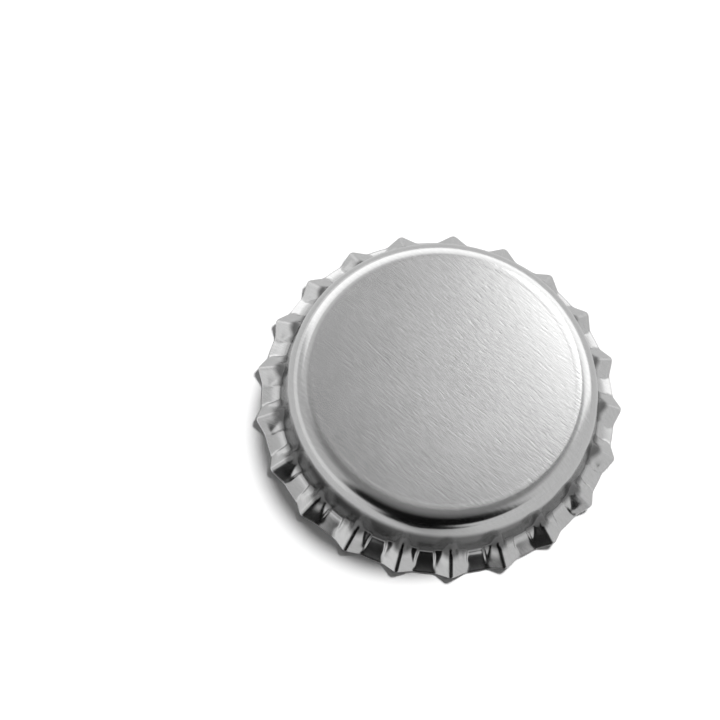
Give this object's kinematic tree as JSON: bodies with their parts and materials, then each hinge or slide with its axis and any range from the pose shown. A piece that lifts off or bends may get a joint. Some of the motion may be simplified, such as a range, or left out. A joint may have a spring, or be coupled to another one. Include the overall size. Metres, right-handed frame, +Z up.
{
  "type": "bottle cap",
  "caption": "Bottle cap of the crown type, pressed from bare tinplate: flat panel, rounded shoulder, plain wall and a flared skirt of 21 pleated teeth, open underneath.",
  "frame": {"origin": "centre of the mouth, on the plane that the rim stands on", "axes": "+Z up through the panel, along the cap's axis; +X out through the tip of one tooth"},
  "size_m": [0.032, 0.032, 0.006],
  "materials": {
    "tinplate": "satin"
  },
  "bodies": {
    "root": {"cap_shell": "tinplate"}
  },
  "joints": []
}
